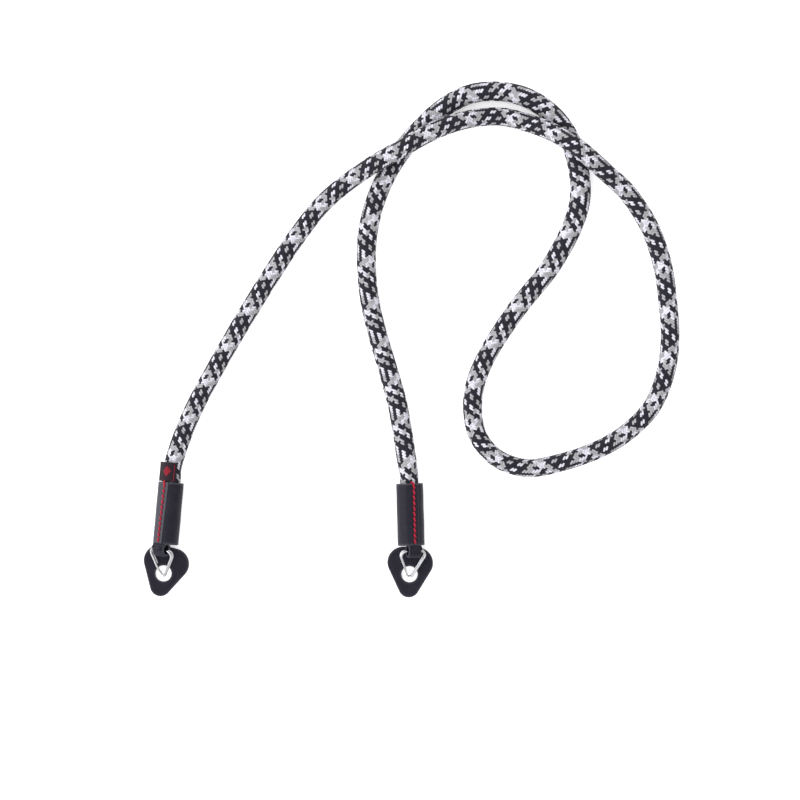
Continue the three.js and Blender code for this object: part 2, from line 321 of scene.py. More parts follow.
rope = {
    "diameter": 0.0093,
    "insert": 0.025,  # length inside each sleeve
    "lead": 0.010,  # straight rope above a sleeve's mouth
    "leadHeight": 0.00675,
    "over": 0.0096,  # rise of a strand that passes over another
    "shift": (0.0009987, -0.0000169),  # from the route's own origin to the part's
    "steps": 40,  # between two points of the route
    "core": 0.0042,  # radius of the dark core that the yarns lie on
    "coreSides": 24,
    "coreStep": 0.002,
    "coreGrain": 0.0004,
    "coreTones": ((0.005, 0.005, 0.007), (0.014, 0.014, 0.018)),
    # x, y and lift, where a lift of 0 lies on the surface and 1 is clear over another strand
    "route": [
        (-0.0512, 0.0586, 0.03), (-0.0211, 0.1127, 0.02), (0.0152, 0.1661, 0.07),
        (0.0297, 0.1787, 0.3), (0.0438, 0.1881, 0.78), (0.0568, 0.1955, 1.01),
        (0.0708, 0.2035, 1), (0.0827, 0.2087, 0.7), (0.0952, 0.2121, 0.3),
        (0.1092, 0.2131, 0.12), (0.1227, 0.2097, 0.36), (0.1357, 0.2041, 0.86),
        (0.1481, 0.1961, 1.03), (0.1611, 0.1851, 0.55), (0.1754, 0.1713, 0.12),
        (0.1916, 0.1375, 0.04), (0.1954, 0.0955, 0.01), (0.1864, 0.0631, 0.01),
        (0.1631, 0.0434, 0.01), (0.1381, 0.0343, 0.01), (0.1209, 0.032, 0.01),
        (0.1063, 0.0371, 0.01), (0.0962, 0.0497, 0.01), (0.0949, 0.0727, 0.01),
        (0.1122, 0.1074, 0.01), (0.137, 0.1396, 0.01), (0.1494, 0.1713, 0.01),
        (0.1422, 0.2044, 0.01), (0.1222, 0.2223, 0.01), (0.0943, 0.2247, 0.01),
        (0.0696, 0.2093, 0.01), (0.0458, 0.1751, 0.01), (0.0402, 0.1244, 0.01),
        (0.0564, 0.0604, 0.03),
    ],
    # distance along the rope, its width as a share of its thickness, and how far it strays to the
    # right of its route
    "shape": [
        (0.02, 1, 0), (0.025, 1, 0), (0.042, 1.04, 0.0003), (0.066, 1.02, -0.0002), (0.09, 1.01, 0),
        (0.13, 1.04, -0.0002), (0.16, 1.03, -0.0003), (0.19, 1.01, 0), (0.222, 1.01, -0.0002),
        (0.282, 1.01, 0.0003), (0.306, 1.02, 0.0006), (0.33, 1.02, 0.0001), (0.378, 1.03, 0.0001),
        (0.396, 1.05, -0.0007), (0.414, 1.07, 0), (0.438, 1.05, 0.0008), (0.464, 1.05, -0.0005),
        (0.486, 1.02, 0.0001), (0.498, 1.01, 0.0003), (0.516, 1, -0.0002), (0.534, 1, 0.0002),
        (0.558, 1.01, -0.0003), (0.594, 1.01, -0.0001), (0.62, 1.08, 0), (0.645, 1.04, -0.0003),
        (0.666, 1.08, 0.0003), (0.69, 1.08, -0.0002), (0.735, 1.17, 0), (0.77, 1.14, 0),
        (0.81, 1.1, 0.0001), (0.85, 1.09, 0), (0.892, 1.05, -0.0006), (0.906, 1.09, 0),
        (0.924, 1.09, 0.0009), (0.942, 1.06, 0.0004), (0.96, 1.06, -0.0002), (0.99, 1.08, -0.0003),
        (1.01, 1.11, 0.0001), (1.03, 1.09, 0.0008), (1.042, 1.11, 0.0012), (1.051, 1, 0),
        (1.06, 1, 0),
    ],
}

# The braid has 16 columns of floats round the rope. Yarns that wind to the right lie on top in
# the even columns and yarns that wind to the left in the odd ones, half a float further on.
braid = {
    "columns": 16,
    "rightYarns": "KKKGGWWKKGGKKKKK",  # K black, G grey, W white, one letter for each yarn
    "leftYarns": "KGGKKWWWGGGKKWWK",
    "steps": 4,  # stations in each float
    "middle": 0.00442,  # radius halfway between a yarn on top and one beneath
    "swing": 0.00026,
    "square": 1.4,  # more than 1 where a yarn stays on top for most of a float
    "cover": 0.003,  # length of yarn inside each sleeve
    "seed": 7,
    # a yarn's section: places across it, and how far each lies under its crown
    "section": [(-1.0, 0.00034), (-0.48, 0.0000476), (0.48, 0.0000476), (1.0, 0.00034)],
    # distance along the rope, floats so far, and columns that the rope is twisted by
    "lay": [
        (0.0371, 5.7, -1), (0.0539, 18.1, -1.2), (0.0682, 28.4, -1.2), (0.096, 49.9, -1.1),
        (0.1313, 76.1, -1.1), (0.1662, 101.5, -1.2), (0.194, 122.1, -1.1), (0.208, 132.1, -0.9),
        (0.2221, 142.1, -0.6), (0.236, 152.1, -0.5), (0.264, 172.1, -0.5), (0.2921, 191.1, -0.3),
        (0.32, 209.8, 0.1), (0.3339, 219.9, 0.4), (0.3479, 230.3, 0.6), (0.376, 248.9, 0),
        (0.404, 268.1, -0.2), (0.4321, 287.2, 0.3), (0.46, 306, 0), (0.4883, 325.4, 0.1),
        (0.5171, 345.2, 0.2), (0.5311, 355, 0.2), (0.5453, 364.4, 0.1), (0.5592, 373.4, 0),
        (0.5735, 382.9, -0.2), (0.5876, 393.2, -0.7), (0.6021, 404.2, -1.2), (0.6165, 415.4, -1.4),
        (0.6445, 435.6, -1.8), (0.6725, 455.4, -1.8), (0.7006, 474.9, -2), (0.7287, 494.4, -2.2),
        (0.7428, 504.4, -2.5), (0.7709, 525.1, -2.8), (0.7989, 545.6, -2.8), (0.8267, 565.2, -2.9),
        (0.8552, 585.9, -2.2), (0.8837, 607.1, -1.9), (0.9121, 628.3, -1.9), (0.9401, 648.9, -2.3),
        (0.9683, 669.4, -3.4), (0.9816, 680.2, -3.5), (0.9957, 691.4, -3.4), (1.0101, 702.6, -2.9),
        (1.0238, 713.3, -2.6), (1.0381, 723.2, -2.5),
    ],
}

yarns = {  # fill is a yarn's width as a share of the space that it has
    "K": {
        "name": "black", "colour": (0.0088, 0.0086, 0.0155),
        "roughness": 0.7, "sheen": 0.05, "fill": 1.12,
    },
    "G": {
        "name": "grey", "colour": (0.33, 0.327, 0.345),
        "roughness": 0.8, "sheen": 0.03, "fill": 0.98,
    },
    "W": {
        "name": "white", "colour": (0.58, 0.572, 0.64),
        "roughness": 0.8, "sheen": 0.03, "fill": 0.98,
    },
}

fibres = {
    "across": 3.2,  # fibres in half a yarn's width
    "along": 420,  # turns of a fibre in a metre of yarn
    "shares": (0.3, 0.2, 0.5),  # of the float's own tone, of the fibres and of neither
    "edge": 0.45,  # painted shade: brightness at a yarn's edges, darker where it meets its neighbours
    "tones": (0.35, 1.12),
    "fuzz": 0.0002,
    "relief": 0.00008,
    "reliefShares": (0.6, 0.4),  # of the fibres and of the fuzz
}


def ropeRoute():
    def entry(end):
        lean = radians(end["lean"])
        x, y = end["mouth"]
        return [
            (x + reach * sin(lean), y + reach * cos(lean), rope["leadHeight"])
            for reach in (-rope["insert"], 0, rope["lead"])
        ]

    shiftX, shiftY = rope["shift"]
    radius = rope["diameter"] / 2
    loose = [(x + shiftX, y + shiftY, radius + lift * rope["over"]) for x, y, lift in rope["route"]]
    return smoothRoute(entry(ends["left"]) + loose + entry(ends["right"])[::-1], rope["steps"])


ropePath = ropeRoute()
ropeTravel = travelled(ropePath)
ropeLength = float(ropeTravel[-1])
ropeTangents = unit(np.gradient(ropePath, ropeTravel, axis=0))
ropeRights = unit(np.cross(ropeTangents, (0.0, 0.0, 1.0)))
ropeUps = np.cross(ropeRights, ropeTangents)


def evened(rows):
    # Distances along the rope and a table's values there, each evened out over 25 mm.
    where, *columns = np.array(rows, float).T
    step, span, beyond = 0.001, 25, 0.03
    fine = np.arange(-beyond, ropeLength + beyond, step)
    weights = np.hanning(span)
    weights /= weights.sum()
    margin = span // 2
    results = [fine[margin:-margin]]
    for values in columns:
        slopeIn = (values[1] - values[0]) / (where[1] - where[0])
        slopeOut = (values[-1] - values[-2]) / (where[-1] - where[-2])
        line = np.interp(fine, where, values)
        line += np.minimum(fine - where[0], 0) * slopeIn
        line += np.maximum(fine - where[-1], 0) * slopeOut
        results.append(np.convolve(line, weights, "valid"))
    return results


shapeWhere, shapeSpread, shapeStray = evened(rope["shape"])


def roundRope(where, angle, radius):
    # Point on a circle round the rope, at an angle from its top towards the right of its travel.
    middle, right, up = (along(a, ropeTravel, where) for a in (ropePath, ropeRights, ropeUps))
    spread = np.interp(where, shapeWhere, shapeSpread)
    aside = np.sin(angle) * (spread - 1) * radius + np.interp(where, shapeWhere, shapeStray)
    outwards = np.sin(angle)[..., None] * right + np.cos(angle)[..., None] * up
    return middle + outwards * np.asarray(radius)[..., None] + right * aside[..., None], outwards


def yarnSkin(yarn, handed, fill, lay):
    # One yarn of the braid: handed is 1 where it winds to the right and -1 to the left.
    layWhere, layFloats, layTwist = lay
    columns, steps = braid["columns"], braid["steps"]
    stops = (rope["insert"] - braid["cover"], ropeLength - rope["insert"] + braid["cover"])
    first, last = np.interp(stops, layWhere, layFloats)
    floats = np.arange(round(first * steps), round(last * steps)) / steps
    where = np.interp(floats, layFloats, layWhere)
    twist = np.interp(where, layWhere, layTwist)
    column = floats - yarn if handed > 0 else yarn + 0.5 - floats
    angle = (column + twist) * 2 * pi / columns
    onTop = handed * np.clip(braid["square"] * np.cos(pi * column), -1, 1)
    crown = braid["middle"] + braid["swing"] * onTop
    middle, outwards = roundRope(where, angle, crown)
    nudge = 0.0005
    ahead, behind = (roundRope(where + d, angle, crown)[0] for d in (nudge, -nudge))
    stretch = np.linalg.norm(ahead - behind, axis=1) / (2 * nudge)  # more than 1 outside a bend
    spacing = stretch / np.gradient(floats, where)
    slope = 2 * pi * braid["middle"] / (columns * spacing)  # tangent of its angle to the rope
    half = fill * spacing * slope / np.sqrt(1 + slope**2) / 2
    half *= np.interp(where, shapeWhere, shapeSpread)
    run = unit(np.gradient(middle, axis=0))
    across = unit(np.cross(run, outwards))
    places, drop = np.array(braid["section"]).T
    rings = middle[:, None] + across[:, None] * (places[None, :] * half[:, None])[..., None]
    rings -= outwards[:, None] * drop[None, :, None]
    tone = random.uniform(0, 1, int(floats[-1] - floats[0]) + 4)
    turn = np.round((column - (0 if handed > 0 else 1)) / 2).astype(int)
    shade = tone[abs(turn - turn[0]) % len(tone)]
    marks = {"across": places[None, :], "run": travelled(middle)[:, None], "tone": shade[:, None]}
    return {"rings": rings, "loop": False, "ends": "open", "flip": False, "marks": marks}


def yarnFinish(kind):
    colour = kind["colour"]
    finish = Finish(
        f"{kind['name']} yarn",
        Roughness=kind["roughness"],
        Sheen_Weight=kind["sheen"],
        Sheen_Roughness=0.5,
        Specular_IOR_Level=0.2,
    )
    across, run, tone = finish.mark("across"), finish.mark("run"), finish.mark("tone")
    lines = (across * fibres["across"] + run * fibres["along"]).wave()
    # painted shade: each yarn darkens from its crown towards its edges
    crown = 1 - across.size() ** 3
    ofTone, ofLines, plain = fibres["shares"]
    shade = tone * ofTone + lines * ofLines + plain
    shade = shade * (crown * (1 - fibres["edge"]) + fibres["edge"])
    dark, light = (tinted(colour, share) for share in fibres["tones"])
    finish.feed("Base Color", finish.mix(shade, dark, light))
    ofLines, ofFuzz = fibres["reliefShares"]
    height = lines * ofLines + finish.noise(fibres["fuzz"]) * ofFuzz
    finish.bump(height, fibres["relief"], 0.7)
    return finish


def makeRope():
    count = round(ropeLength / rope["coreStep"]) + 1
    where = np.linspace(0, ropeLength, count)
    angles = np.arange(rope["coreSides"]) * 2 * pi / rope["coreSides"]
    rings = roundRope(where[:, None], angles[None, :] + 0 * where[:, None], rope["core"])[0]
    coreFinish = Finish("rope core", Roughness=0.9, Specular_IOR_Level=0.1)
    speck = coreFinish.noise(rope["coreGrain"])
    coreFinish.feed("Base Color", coreFinish.mix(speck, *map(tinted, rope["coreTones"])))
    coreFinish.bump(speck, 0.0001)
    core = meshPiece("rope_core", [{"rings": rings}], coreFinish, ["rope"])
    lay = evened(braid["lay"])
    sets = {}
    for handed, letters in ((1, braid["rightYarns"]), (-1, braid["leftYarns"])):
        for yarn, letter in enumerate(letters):
            key = yarns[letter]["name"] + ("_left" if letter == "K" and handed < 0 else "")
            skins = sets.setdefault(key, (letter, []))[1]
            skins.append(yarnSkin(yarn, handed, yarns[letter]["fill"], lay))
    finishes = {letter: yarnFinish(kind) for letter, kind in yarns.items()}
    for key, (letter, skins) in sets.items():
        meshPiece(f"{key}_yarns", skins, finishes[letter], ["rope"])


random = np.random.default_rng(braid["seed"])
makeRope()


# Leather and thread

leather = {
    "tones": ((0.0062, 0.0056, 0.0125), (0.062, 0.064, 0.075)),  # unworn, and the lighter tone of wear and of the painted highlight
    "grain": 0.00055,
    "pores": 0.00025,
    "blotches": 0.004,
    "blotchy": 0.08,  # how far blotches lighten it
    "wearAndHighlightLift": 0.7,  # how far wear and the painted highlight lighten it
    "roughness": (0.42, 0.56),
    "relief": 0.00007,
    "reliefShares": (0.5, 0.5, 0.8),  # of creases, pores and blotches
    "groove": (0.00008, 0.0007),  # depth and width of the groove that the stitches lie in
    "hole": (0.00035, 0.00045),  # depth and width of the dimple at a stitch's hole
    "ripple": 0.00005,
    "ends": (0.0008, 0.0006),  # width of the worn rims at the ring and at the mouth
    "fringe": 0.5,  # how much lighter the leather is along the lap's edge
}

thread = {
    "width": 0.00105,
    "twist": 0.0023,  # length of one turn of the two plies
    "sides": 8,
    "colour": (0.36, 0.006, 0.026),
    "tones": (0.4, 1.2),
    "fibres": (5, 900),  # round a ply, and in a metre of it
    "blotches": 0.0006,
    "shares": (0.35, 0.8),  # of fibres and blotches
    "relief": 0.00005,
    "apart": 0.24,  # from the thread's middle to a ply's, as a share of the width
    "ply": 0.28,  # radius of a ply
}


def leatherFinish():
    finish = Finish("black leather", Specular_IOR_Level=0.15)
    creases = finish.creases(leather["grain"]).within(0.0, 0.25)
    blotch = finish.noise(leather["blotches"], 4.0)
    pores = finish.noise(leather["pores"], 3.0)
    # the mark holds real wear at rims and edges, and a painted highlight beside the lap's edge
    worn = blotch.within(0.45, 0.8) * leather["blotchy"] + finish.mark("worn") * leather["wearAndHighlightLift"]
    finish.feed("Base Color", finish.mix(worn, *map(tinted, leather["tones"])))
    low, high = leather["roughness"]
    finish.feed("Roughness", blotch * (high - low) + low + pores * 0.06)
    ofCreases, ofPores, ofBlotches = leather["reliefShares"]
    height = creases * ofCreases + pores * ofPores + blotch * ofBlotches
    finish.bump(height, leather["relief"], 0.55)
    return finish


def threadFinish():
    finish = Finish("red thread", Roughness=0.5, Sheen_Weight=0.05, Specular_IOR_Level=0.2)
    turns, rate = thread["fibres"]
    lines = (finish.mark("round") * turns + finish.mark("run") * rate).wave()
    ofLines, ofBlotches = thread["shares"]
    shade = lines * ofLines + finish.noise(thread["blotches"]) * ofBlotches
    dark, light = (tinted(thread["colour"], share) for share in thread["tones"])
    finish.feed("Base Color", finish.mix(shade, dark, light))
    finish.bump(lines, thread["relief"], 0.6)
    return finish


leatherLook = leatherFinish()
threadLook = threadFinish()


def threadSkins(path, width):
    # Two plies wound round each other along a path.
    path = smoothRoute(path, 6)
    lengths = travelled(path)
    rights, ups = carriedFrames(path)[1:]
    skins = []
    for start in (0, pi):
        angle = (lengths / thread["twist"] * 2 * pi + start)[:, None]
        ply = path + (np.cos(angle) * rights + np.sin(angle) * ups) * width * thread["apart"]
        rings = roundTube(ply, width * thread["ply"], thread["sides"])
        around = np.arange(thread["sides"])[None, :] / thread["sides"]
        run = np.interp(np.arange(len(rings)), [0, len(rings) - 1], [0, lengths[-1]])[:, None]
        skins.append({"rings": rings, "marks": {"round": around, "run": run}})
    return skins


# Sleeves

sleeve = {
    "bore": 0.00495,
    "radius": 0.00675,
    "length": 0.032,
    "lapRise": 0.0006,  # step at the lap's edge
    "lapFade": 120,  # degrees round which the lap thins away
    "lapMargin": 18,  # degrees from the seam to the lap's edge
    "lapStep": 4,  # degrees over which the edge drops
    "crease": 0.00008,  # depth of the crease beside the edge
    "rim": 0.0005,  # rounding of the leather's ends
    "columns": 150,
    "edgeColumns": 14,  # across the lap's edge
    "rows": 110,
    "flatDepth": 0.00045,  # how far the lap's edge strip is flattened
    "flatWidth": 50,  # degrees
    "stitches": 11,
    "stitchStart": 0.0009,  # from the mouth to the first hole
    "stitchPitch": 0.0028,
    "stitchGap": 0.001,  # leather between two stitches
    "stitchSlant": 0.00028,
    "stitchRise": 0.00035,
    "stitchSunk": 0.0009,  # how far a stitch's ends lie under the leather
}

tab = {
    "width": 0.0068,
    "thickness": 0.0014,
    "reach": 0.0064,  # from the sleeve's end to the outside of the loop
    "slack": 0.0037,  # clear height inside the loop
    "root": 0.002,  # length that lies along the sleeve
    "dip": 0.0006,  # how far the root lies under the stitches' holes
    "tail": 0.006,  # length of the run back into the bore
    "sink": 0.00015,  # how far the strip's face lies under the leather's round
    "bite": 0.0005,  # how deep the run back sits in the bore's wall
    "edge": 0.00035,  # rounding of the strip's corners
    "rub": 0.7,  # how worn the strip's edges are
    "rubWidth": 0.0004,
}

quarter = [radians(90 * k / 5) for k in range(6)]  # angles round a rounded edge
tabFold = (tab["slack"] + tab["thickness"]) / 2
tabOuter = sleeve["radius"] - tab["sink"] - tab["thickness"] / 2


def smoothStep(share):
    share = np.clip(share, 0, 1)
    return share * share * (3 - 2 * share)


def seamAngle(end, depth):
    mouth, low = end["seam"]
    return mouth + (low - mouth) * depth / sleeve["length"]


def lappedRadius(end, away):
    # Outer radius at an angle away from the seam, towards +X.
    behind = (sleeve["lapMargin"] - np.asarray(away, float)) % 360
    drop = smoothStep((behind - 360 + sleeve["lapStep"]) / sleeve["lapStep"])
    fade = np.clip(1 - behind / sleeve["lapFade"], 0, 1) * (1 - 0.25 * np.exp(-behind / 2.0))
    rise = np.where(behind > 360 - sleeve["lapStep"], drop * 0.75, fade)
    crease = sleeve["crease"] * np.exp(-np.abs(behind - 360 + sleeve["lapStep"] * 1.3) / 1.5)
    flat = sleeve["flatDepth"] * np.clip(1 - (2 * behind / sleeve["flatWidth"] - 1) ** 2, 0, 1)
    return sleeve["radius"] - end["snug"] + sleeve["lapRise"] * rise - crease - flat


def stitchRows():
    # Start and end of each stitch along the seam, measured from the mouth into the sleeve.
    starts = sleeve["stitchStart"] + sleeve["stitchPitch"] * np.arange(sleeve["stitches"])
    return [(start, start + sleeve["stitchPitch"] - sleeve["stitchGap"]) for start in starts]


def sleeveRows():
    # Height above the mouth, push outwards, and 1 on the outside or 0 in the bore, once round
    # the leather's section.
    length, rim = sleeve["length"], sleeve["rim"]
    straight = length - 2 * rim
    bore, outside = 8, sleeve["rows"]
    rows = [(-length + rim + straight * k / bore, 0.0, 0.0) for k in range(bore + 1)]
    rows += [(-rim / 2 * (1 - sin(c)), rim / 2 * (1 - cos(c)), 0.0) for c in quarter]
    rows += [(-rim * (1 - cos(c)), -rim * (1 - sin(c)), 1.0) for c in quarter]
    rows += [(-rim - straight * k / outside, 0.0, 1.0) for k in range(1, outside)]
    rows += [(-length + rim * (1 - sin(c)), -rim * (1 - cos(c)), 1.0) for c in quarter]
    rows += [(-length + rim / 2 * (1 - cos(c)), rim / 2 * (1 - sin(c)), 0.0) for c in quarter[:-1]]
    return np.array(rows).T[:, :, None]


def sleeveSkin(end):
    edge = sleeve["lapMargin"]
    wide = np.linspace(edge + 6, edge + 354, sleeve["columns"], endpoint=False)
    close = np.linspace(edge + 354, edge + 366, sleeve["edgeColumns"], endpoint=False)
    away = np.concatenate([wide, close])[None, :]
    depth, inset, outer = sleeveRows()
    angles = away + seamAngle(end, -depth)
    reach = lappedRadius(end, away) * outer + sleeve["bore"] * (1 - outer) + inset
    arc = np.radians((away + 180) % 360 - 180) * sleeve["radius"]
    deep, broad = leather["groove"]
    reach -= deep * np.exp(-(arc**2) / (2 * broad**2)) * outer
    deep, broad = leather["hole"]
    for start, stop in stitchRows():
        for place, slant in ((start, -1), (stop, 1)):
            apart = (arc - slant * sleeve["stitchSlant"]) ** 2 + (depth + place) ** 2
            reach -= deep * np.exp(-apart / (2 * broad**2)) * outer
    ripple = np.sin(np.radians(angles * 3 + 40)) * np.sin(depth * 420 + 0.6)
    reach += leather["ripple"] * ripple * outer
    atRing, atMouth = leather["ends"]
    worn = np.exp(-((depth + sleeve["length"]) ** 2) / atRing**2) + np.exp(-(depth**2) / atMouth**2)
    behind = (edge - away) % 360
    worn = worn + leather["fringe"] * np.exp(-np.minimum(behind, 360 - behind) / 2.5) * outer
    # painted highlight: the flattened strip beside the lap's edge is lighter, where it faces the
    # light
    worn += end["paintedHighlight"] * smoothStep((130 - behind) / 60) * outer
    rings = outward(angles) * reach[..., None]
    rings[..., 1] = depth
    rings[..., 2] = np.maximum(rings[..., 2] + sleeve["radius"], 0.00005)
    return {"rings": toWorld(end, rings), "ends": "joined", "marks": {"worn": np.clip(worn, 0, 1)}}


def roundedStrip(width, thickness, edge, places=13):
    # Section of a strip of leather or cloth: across and height, once round.
    flat = np.linspace(-width / 2 + edge, width / 2 - edge, places)
    turns = np.radians(np.linspace(90, -90, 7))[1:-1]
    top = [(x, thickness / 2) for x in flat]
    side = [(width / 2 - edge + edge * cos(t), (thickness / 2) * sin(t)) for t in turns]
    under = [(x, -thickness / 2) for x in flat[::-1]]
    return np.array(top + side + under + [(-x, -h) for x, h in side])


def tabSkin(end):
    # The strip that folds into the ring's loop. Each row is a place past the sleeve's end, a
    # distance from its axis and how much of the sleeve's curve the strip keeps.
    roll, offset = end["roll"], end["roll"] - end["seam"][1]
    thick, root, dip = tab["thickness"], tab["root"], tab["dip"]
    flush = lappedRadius(end, offset) - thick / 2 - 0.00006
    foldAlong = tab["reach"] - thick / 2 - tabFold
    foldOut = tabOuter - tabFold
    inner = foldOut - tabFold
    seat = sleeve["bore"] - thick / 2 + tab["bite"]
    turns = [pi * k / 8 for k in range(9)]
    rows = [(-root, flush - dip, 1), (-root * 0.3, flush - dip * 0.6, 1), (0.0, flush, 1)]
    rows += [(foldAlong / 2, flush * 0.6 + tabOuter * 0.4, 0.5)]
    rows += [(foldAlong + tabFold * sin(t), foldOut + tabFold * cos(t), 0.12) for t in turns]
    rows += [(foldAlong / 2, inner + thick / 6, 0.1)]
    for share, rise in ((0.05, 0.4), (0.3, 0.85), (0.5, 1), (1, 1)):
        rows.append((-tab["tail"] * share, inner + (seat - inner) * rise, 0))
    line = smoothRoute(rows, 5)
    run = unit(np.gradient(line[:, :2], axis=0))
    across, height = roundedStrip(tab["width"], thick, tab["edge"]).T
    angle = np.degrees(np.arcsin(across / sleeve["radius"]))
    surface = lappedRadius(end, offset + angle) * np.cos(np.radians(angle))
    surface -= lappedRadius(end, offset)
    lift = height[None, :] + line[:, 2][:, None] * surface[None, :]
    away = line[:, 0][:, None] - run[:, 1][:, None] * lift
    out = line[:, 1][:, None] + run[:, 0][:, None] * lift
    up, side = outward(roll), outward(roll + 90)
    rings = up * out[..., None] + side * (across[None, :] + 0 * out)[..., None]
    rings[..., 1] = -sleeve["length"] - away
    rings[..., 2] += sleeve["radius"]
    fromEdge = np.abs(np.abs(across) - tab["width"] / 2)
    worn = np.clip(1 - fromEdge / tab["rubWidth"], 0, 1) * tab["rub"]
    return {"rings": toWorld(end, rings), "marks": {"worn": worn[None, :]}}


def stitchSkins(end):
    # Red stitches down the seam, and one that goes over the sleeve's mouth.
    skins = []

    def spot(depth, across, radius):
        angle = seamAngle(end, depth) + np.degrees(across / sleeve["radius"])
        place = outward(angle) * radius
        place[1] = -depth
        place[2] += sleeve["radius"]
        return place

    surface = float(lappedRadius(end, 0))
    slant, sunk = sleeve["stitchSlant"], sleeve["stitchSunk"]
    shares = (0, 0.12, 0.32, 0.5, 0.68, 0.88, 1)
    rises = (-sunk, 0.0, 0.0002, sleeve["stitchRise"], 0.0002, 0.0, -sunk)
    for start, stop in stitchRows():
        path = [
            spot(start + (stop - start) * share, slant * (2 * share - 1), surface + rise)
            for share, rise in zip(shares, rises)
        ]
        skins += threadSkins(path, thread["width"])
    over = [  # depth from the mouth, across, and distance from the sleeve's axis
        spot(sleeve["stitchStart"], 0, surface - sunk),
        spot(sleeve["stitchStart"] * 0.8, 0, surface + 0.0001),
        spot(0.0001, -slant, surface + 0.0002),
        spot(-0.0005, -2 * slant, surface - 0.0003),
        spot(-0.0006, -3 * slant, sleeve["bore"] + 0.0009),
        spot(0.0002, -4 * slant, sleeve["bore"] + 0.0004),
    ]
    skins += threadSkins(over, thread["width"])
    return [{**skin, "rings": toWorld(end, skin["rings"])} for skin in skins]


def makeSleeves():
    for side, end in ends.items():
        skins = [sleeveSkin(end), tabSkin(end)]
        meshPiece(f"{side}_sleeve_leather", skins, leatherLook, [f"{side}_sleeve"])
        meshPiece(f"{side}_sleeve_stitches", stitchSkins(end), threadLook)
    print("sleeves and stitches made")


makeSleeves()


# Rings and shields


def corneredOutline(width, length, shoulder, tip, steps=400):
    # Rounded triangle, once round from its top left: flat top edge on y = 0, narrow end down.
    wide = np.array([width / 2 - shoulder, -shoulder])
    low = np.array([0.0, tip - length])
    between = wide - low
    square = unit(np.array([between[1], -between[0]]))
    lean = (tip - shoulder) / np.linalg.norm(between)
    normal = unit(between) * lean + square * sqrt(1 - lean**2)
    angle = atan2(normal[1], normal[0])

    def arc(middle, radius, start, stop):
        turns = np.linspace(start, stop, 40)
        return middle + radius * np.stack([np.cos(turns), np.sin(turns)], -1)

    outline = np.vstack([
        [(-wide[0], 0.0)],
        arc(wide, shoulder, pi / 2, angle),
        arc(low, tip, angle, -pi - angle),
        arc(wide * (-1, 1), shoulder, -pi - angle, -1.5 * pi),
    ])
    lengths = travelled(outline)
    return along(outline, lengths, np.linspace(0, lengths[-1], steps, endpoint=False))


ring = {
    "wire": 0.0011,
    "width": 0.0139,
    "length": 0.0162,
    "shoulder": 0.0032,
    "tip": 0.002,
    "turnGap": 0.0002,
    "barOut": 0.0026,  # from the sleeve's end to the middle of the bar
    "sides": 16,
    "steps": 300,
    "start": 0.66,  # where on the loop the wire starts, as a share of one turn
    "free": 0.1,  # share of a turn left open at each end of the wire
    "over": 0.0023,  # height of the shield's top and the gap above it
    "tones": ((0.3, 0.3, 0.315), (0.5, 0.5, 0.515)),
    "roughness": (0.08, 0.18),
    "haze": 0.0015,
}

shield = {
    "width": 0.0236,
    "length": 0.026,
    "shoulder": 0.008,
    "tip": 0.0054,
    "thickness": 0.002,
    "hole": 0.0083,
    "holeDrop": 0.014,
    "edge": 0.0005,
    "rays": 240,
    "rows": 14,
    "bow": 0.00009,
    "rub": 0.8,  # how worn its edges are
    "rubWidth": 0.0006,
}


def metalFinish():
    finish = Finish("bright nickel", Metallic=1.0)
    haze = finish.noise(ring["haze"], 3.0)
    finish.feed("Base Color", finish.mix(haze, *map(tinted, ring["tones"])))
    low, high = ring["roughness"]
    finish.feed("Roughness", haze * (high - low) + low)
    finish.bump(finish.noise(0.0004), 0.00002, 0.3)
    return finish


def ringSkin(end):
    # The wire is drawn flat, then laid with its bar in the leather loop and its tip low.
    wire = ring["wire"]
    reach = ring["length"] - wire
    bends = (ring["shoulder"] - wire / 2, ring["tip"] - wire / 2)
    outline = corneredOutline(ring["width"] - wire, reach, *bends, 800)
    shares = np.linspace(ring["free"], 2 - ring["free"], ring["steps"])
    spots = (ring["start"] + shares) % 1 * len(outline)
    closed = np.vstack([outline, outline[:1]])
    flat = along(closed, np.arange(len(closed), dtype=float), spots)
    pitch = wire + ring["turnGap"]
    cross = smoothStep((shares - 1 + ring["free"] * 0.7) / (ring["free"] * 1.4))
    path = np.column_stack([flat, (cross - 0.5) * pitch])
    bar = outward(end["roll"]) * (tabOuter - tabFold)
    bar += (0, -sleeve["length"] - ring["barOut"], sleeve["radius"])
    height = ring["over"] + (pitch + wire) / 2
    forward = sqrt(reach**2 - (bar[2] - height) ** 2 - end["ringShift"] ** 2)
    tip = np.array([bar[0] + end["ringShift"], bar[1] - forward, height])
    up = unit(bar - tip)
    level = outward(end["roll"] + 90)
    right = unit(level - up * level.dot(up))
    placed = bar + path[:, :1] * right + path[:, 1:2] * up + path[:, 2:] * np.cross(right, up)
    return {"rings": toWorld(end, roundTube(placed, wire / 2, ring["sides"], 5))}


def holeMiddle(side):  # from the opening that the record states
    for opening in frame["record"]["physics"]["openings"]:
        if opening["name"] == f"{side}_shield_hole":
            return np.mean(opening["box_m"], axis=0)[:2]


